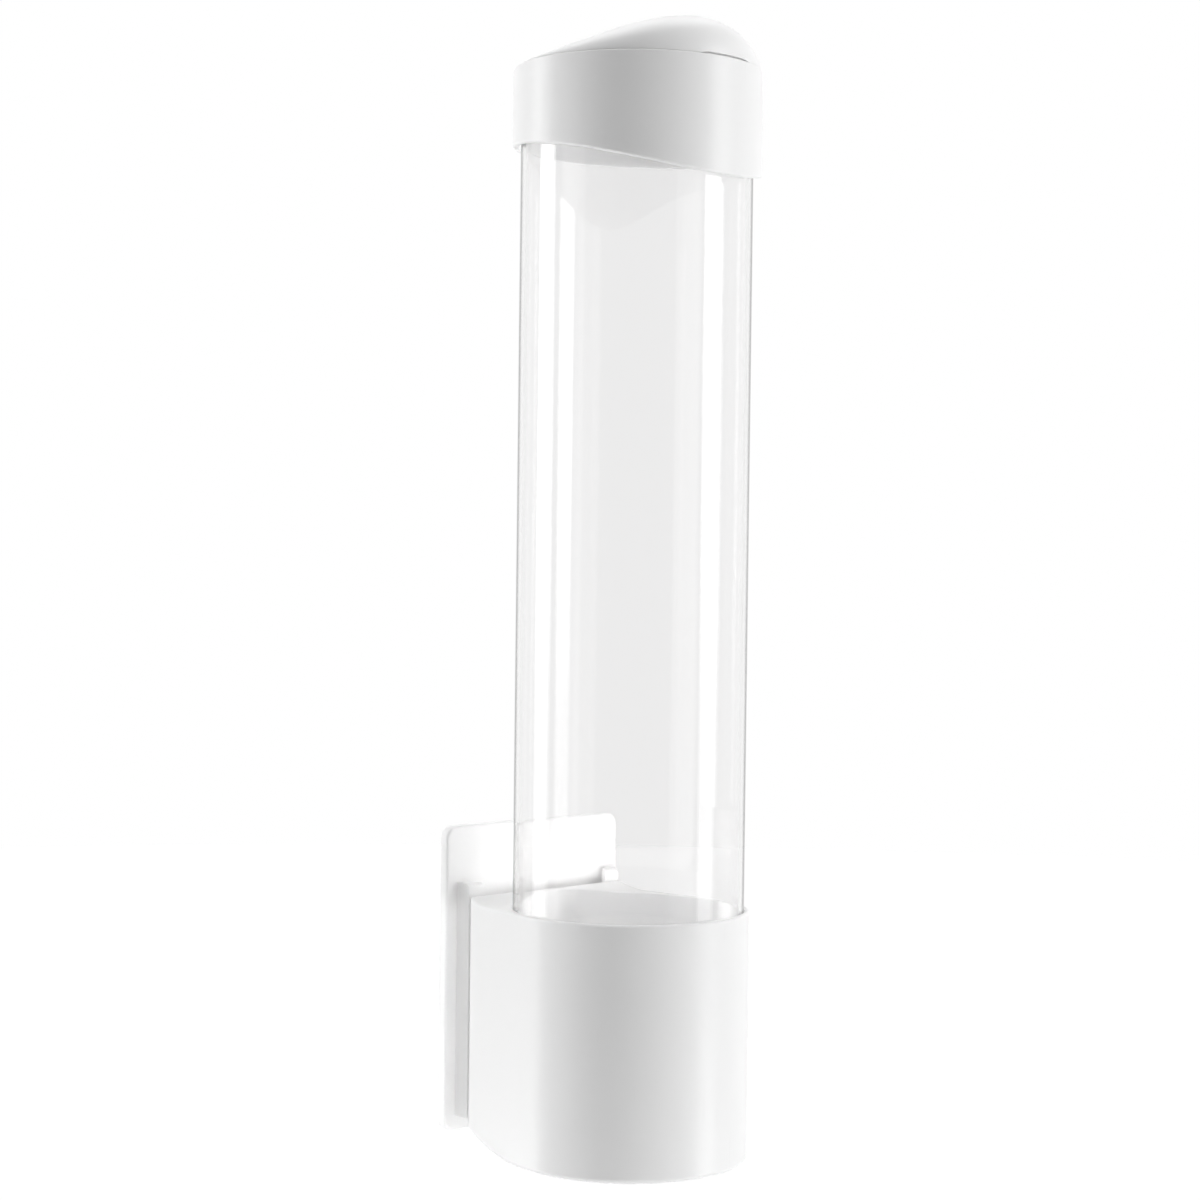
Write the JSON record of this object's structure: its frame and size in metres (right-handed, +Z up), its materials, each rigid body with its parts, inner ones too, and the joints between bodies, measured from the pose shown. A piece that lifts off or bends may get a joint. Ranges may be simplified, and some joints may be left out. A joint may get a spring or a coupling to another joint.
{
  "type": "cup dispenser",
  "caption": "Wall-hung cup dispenser: a clear tube in a white base with sprung fingers, a flip-up domed lid on top and a wall plate that the base slides onto.",
  "frame": {"origin": "centre of the wall plate's back face, on the wall", "axes": "+Z up along the tube, -Y out from the wall toward the front, +X to the right as seen from the front"},
  "size_m": [0.0964, 0.106, 0.4372],
  "materials": {
    "white_gloss": "glossy white moulding",
    "white_satin": "satin white moulding",
    "finger_plastic": "soft satin moulding",
    "clear_plastic": "clear polished tube",
    "grey_rubber": "matt",
    "screw_steel": "zinc plated"
  },
  "bodies": {
    "wall_mount": {"wall_plate": "white_satin"},
    "dispenser": {"base_housing": "white_gloss", "back_slide": "white_satin", "back_screw_1": "screw_steel", "back_screw_2": "screw_steel", "back_screw_3": "screw_steel", "back_screw_4": "screw_steel", "finger_ring": "white_satin", "ring_screw_1": "screw_steel", "ring_screw_2": "screw_steel", "ring_screw_3": "screw_steel", "ring_screw_4": "screw_steel", "tube_gasket": "grey_rubber"},
    "finger_1": {"cup_finger_1": "finger_plastic"},
    "finger_2": {"cup_finger_2": "finger_plastic"},
    "finger_3": {"cup_finger_3": "finger_plastic"},
    "finger_4": {"cup_finger_4": "finger_plastic"},
    "tube": {"clear_tube": "clear_plastic"},
    "cap": {"cap_collar": "white_gloss", "lid_hinge_pin": "screw_steel"},
    "lid": {"cap_lid": "white_gloss"}
  },
  "joints": [
    {"name": "base_lift", "type": "slide", "parent": "wall_mount", "child": "dispenser", "axis": [0, 0, 1], "range_m": [0, 0.09]},
    {"name": "finger_1_flex", "type": "hinge", "parent": "dispenser", "child": "finger_1", "pos_m": [0.02922, -0.02858, -0.0006], "axis": [0.7071, -0.7071, 0], "range_deg": [0, 15], "stiffness_Nm_per_rad": 0.028},
    {"name": "finger_2_flex", "type": "hinge", "parent": "dispenser", "child": "finger_2", "pos_m": [-0.02922, -0.02858, -0.0006], "axis": [0.7071, 0.7071, 0], "range_deg": [0, 15], "stiffness_Nm_per_rad": 0.028},
    {"name": "finger_3_flex", "type": "hinge", "parent": "dispenser", "child": "finger_3", "pos_m": [-0.02922, -0.08702, -0.0006], "axis": [-0.7071, 0.7071, 0], "range_deg": [0, 15], "stiffness_Nm_per_rad": 0.028},
    {"name": "finger_4_flex", "type": "hinge", "parent": "dispenser", "child": "finger_4", "pos_m": [0.02922, -0.08702, -0.0006], "axis": [-0.7071, -0.7071, 0], "range_deg": [0, 15], "stiffness_Nm_per_rad": 0.028},
    {"name": "tube_lift", "type": "slide", "parent": "dispenser", "child": "tube", "axis": [0, 0, 1], "range_m": [0, 0.022]},
    {"name": "cap_lift", "type": "slide", "parent": "tube", "child": "cap", "axis": [0, 0, 1], "range_m": [0, 0.045]},
    {"name": "lid_hinge", "type": "hinge", "parent": "cap", "child": "lid", "pos_m": [0, -0.0069, 0.3542], "axis": [-1, 0, 0], "range_deg": [0, 80]}
  ]
}
